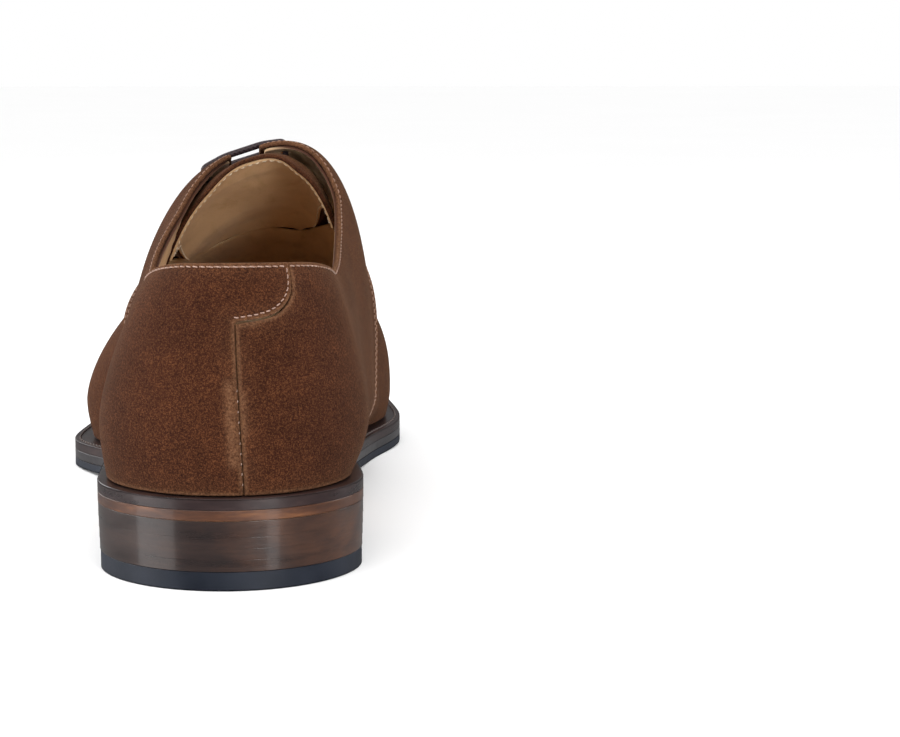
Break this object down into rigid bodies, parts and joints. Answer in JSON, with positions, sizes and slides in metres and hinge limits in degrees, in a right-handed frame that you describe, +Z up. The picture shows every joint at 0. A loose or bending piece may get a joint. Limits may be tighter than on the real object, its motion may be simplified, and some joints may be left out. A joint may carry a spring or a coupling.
{
  "type": "lace-up derby shoe",
  "caption": "Man's left derby shoe: suede upper with open lacing over a tongue, leather lining, welted leather sole with rubber half sole and a stacked leather heel.",
  "frame": {"origin": "on the floor, at the middle of the heel's wearing face", "axes": "+Y from heel to toe, +X towards the inner (medial) side of the left foot, +Z up"},
  "size_m": [0.1108, 0.3044, 0.1108],
  "materials": {
    "suede": "brown suede, napped",
    "lining_leather": "smooth beige lining leather",
    "sole_leather": "vegetable-tanned sole leather, waxed edge",
    "edge_leather": "dark dyed and burnished welt",
    "stack_leather": "dark burnished stacked leather",
    "sole_rubber": "black rubber, satin",
    "board": "stiff leather board",
    "cork": "ground cork filler",
    "spring_steel": "plain steel strip",
    "lace_cotton": "waxed round cotton cord, dark brown",
    "aglet_plastic": "dark plastic tip"
  },
  "bodies": {
    "shoe": {"heel_top_lift": "sole_rubber", "heel_lift_1": "stack_leather", "heel_lift_2": "stack_leather", "heel_lift_3": "stack_leather", "heel_lift_4": "stack_leather", "outsole": "sole_leather", "half_sole": "sole_rubber", "welt": "edge_leather", "cork_filler": "cork", "shank": "spring_steel", "insole": "board", "heel_sock": "lining_leather", "heel_counter": "board", "toe_puff": "board", "quarter_lateral": "suede", "quarter_medial": "suede", "vamp": "suede", "quarter_lining_lateral": "lining_leather", "quarter_lining_medial": "lining_leather", "vamp_lining": "lining_leather", "lace": "lace_cotton", "aglet_lower": "aglet_plastic", "aglet_upper": "aglet_plastic"},
    "tongue_flap": {"tongue": "suede", "tongue_lining": "lining_leather"}
  },
  "joints": [
    {"name": "tongue_flex", "type": "hinge", "parent": "shoe", "child": "tongue_flap", "pos_m": [0.0035, 0.1415, 0.0755], "axis": [1, 0, 0], "range_deg": [0, 12], "stiffness_Nm_per_rad": 0.06}
  ]
}
